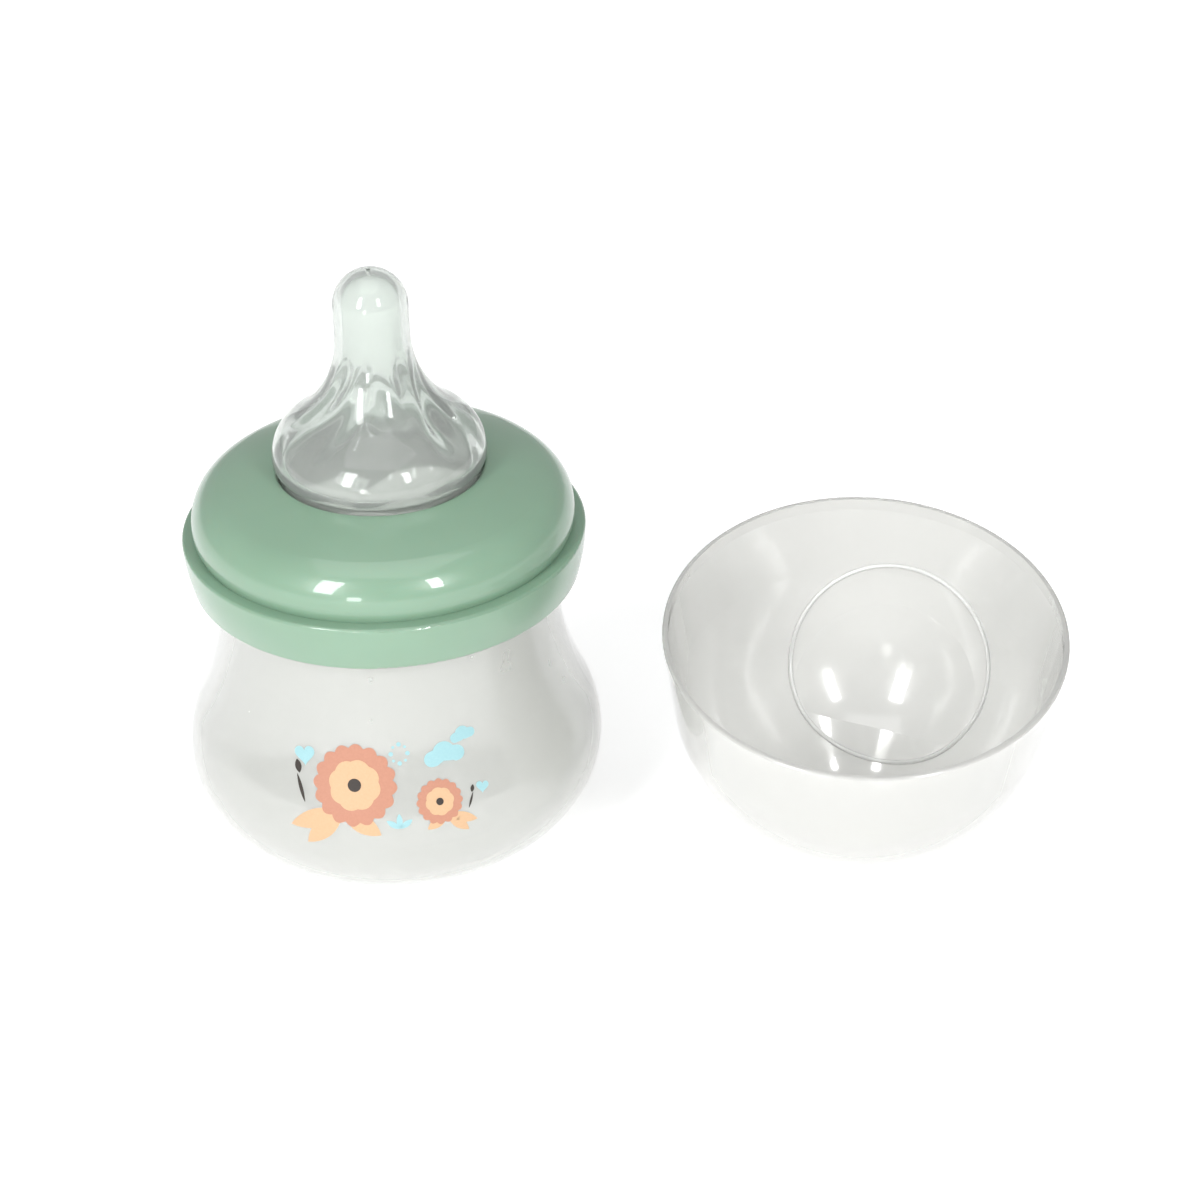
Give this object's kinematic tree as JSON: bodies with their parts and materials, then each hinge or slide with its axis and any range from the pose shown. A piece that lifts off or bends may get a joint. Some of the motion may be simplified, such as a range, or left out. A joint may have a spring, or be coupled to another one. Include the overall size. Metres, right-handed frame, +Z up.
{
  "type": "baby bottle",
  "caption": "Wide-neck feeding bottle with a round belly, a domed screw collar, a silicone teat and a clear dome cap lying beside it.",
  "frame": {"origin": "centre of the bottle's flat base, on the surface it stands on", "axes": "+Z up along the bottle's axis, +X towards the cap that lies beside it, -Y towards the decorated front"},
  "size_m": [0.1599, 0.0976, 0.1117],
  "materials": {
    "clear_pp": "clear glossy blown polypropylene",
    "green_pp": "glossy injection-moulded polypropylene, sage green",
    "silicone": "clear liquid silicone rubber, smooth",
    "clear_cap_pp": "clear glossy injection-moulded polypropylene"
  },
  "bodies": {
    "bottle": {"bottle_body": "clear_pp"},
    "teat": {"teat": "silicone"},
    "collar": {"screw_collar": "green_pp"},
    "cap": {"dome_cap": "clear_cap_pp"}
  },
  "joints": [
    {"name": "teat_rise", "type": "slide", "parent": "bottle", "child": "teat", "axis": [0, 0, 1], "range_m": [0, 0.00626]},
    {"name": "collar_turn", "type": "hinge", "parent": "teat", "child": "collar", "pos_m": [0, 0, 0.06], "axis": [0, 0, 1], "range_deg": [0, 450]},
    {"name": "cap_lift", "type": "slide", "parent": "bottle", "child": "cap", "axis": [0, 0, 1], "range_m": [0, 0.08]}
  ],
  "couplings": [
    {"joint": "teat_rise", "follows": "collar_turn", "m_per_rad": 0.00079577}
  ]
}
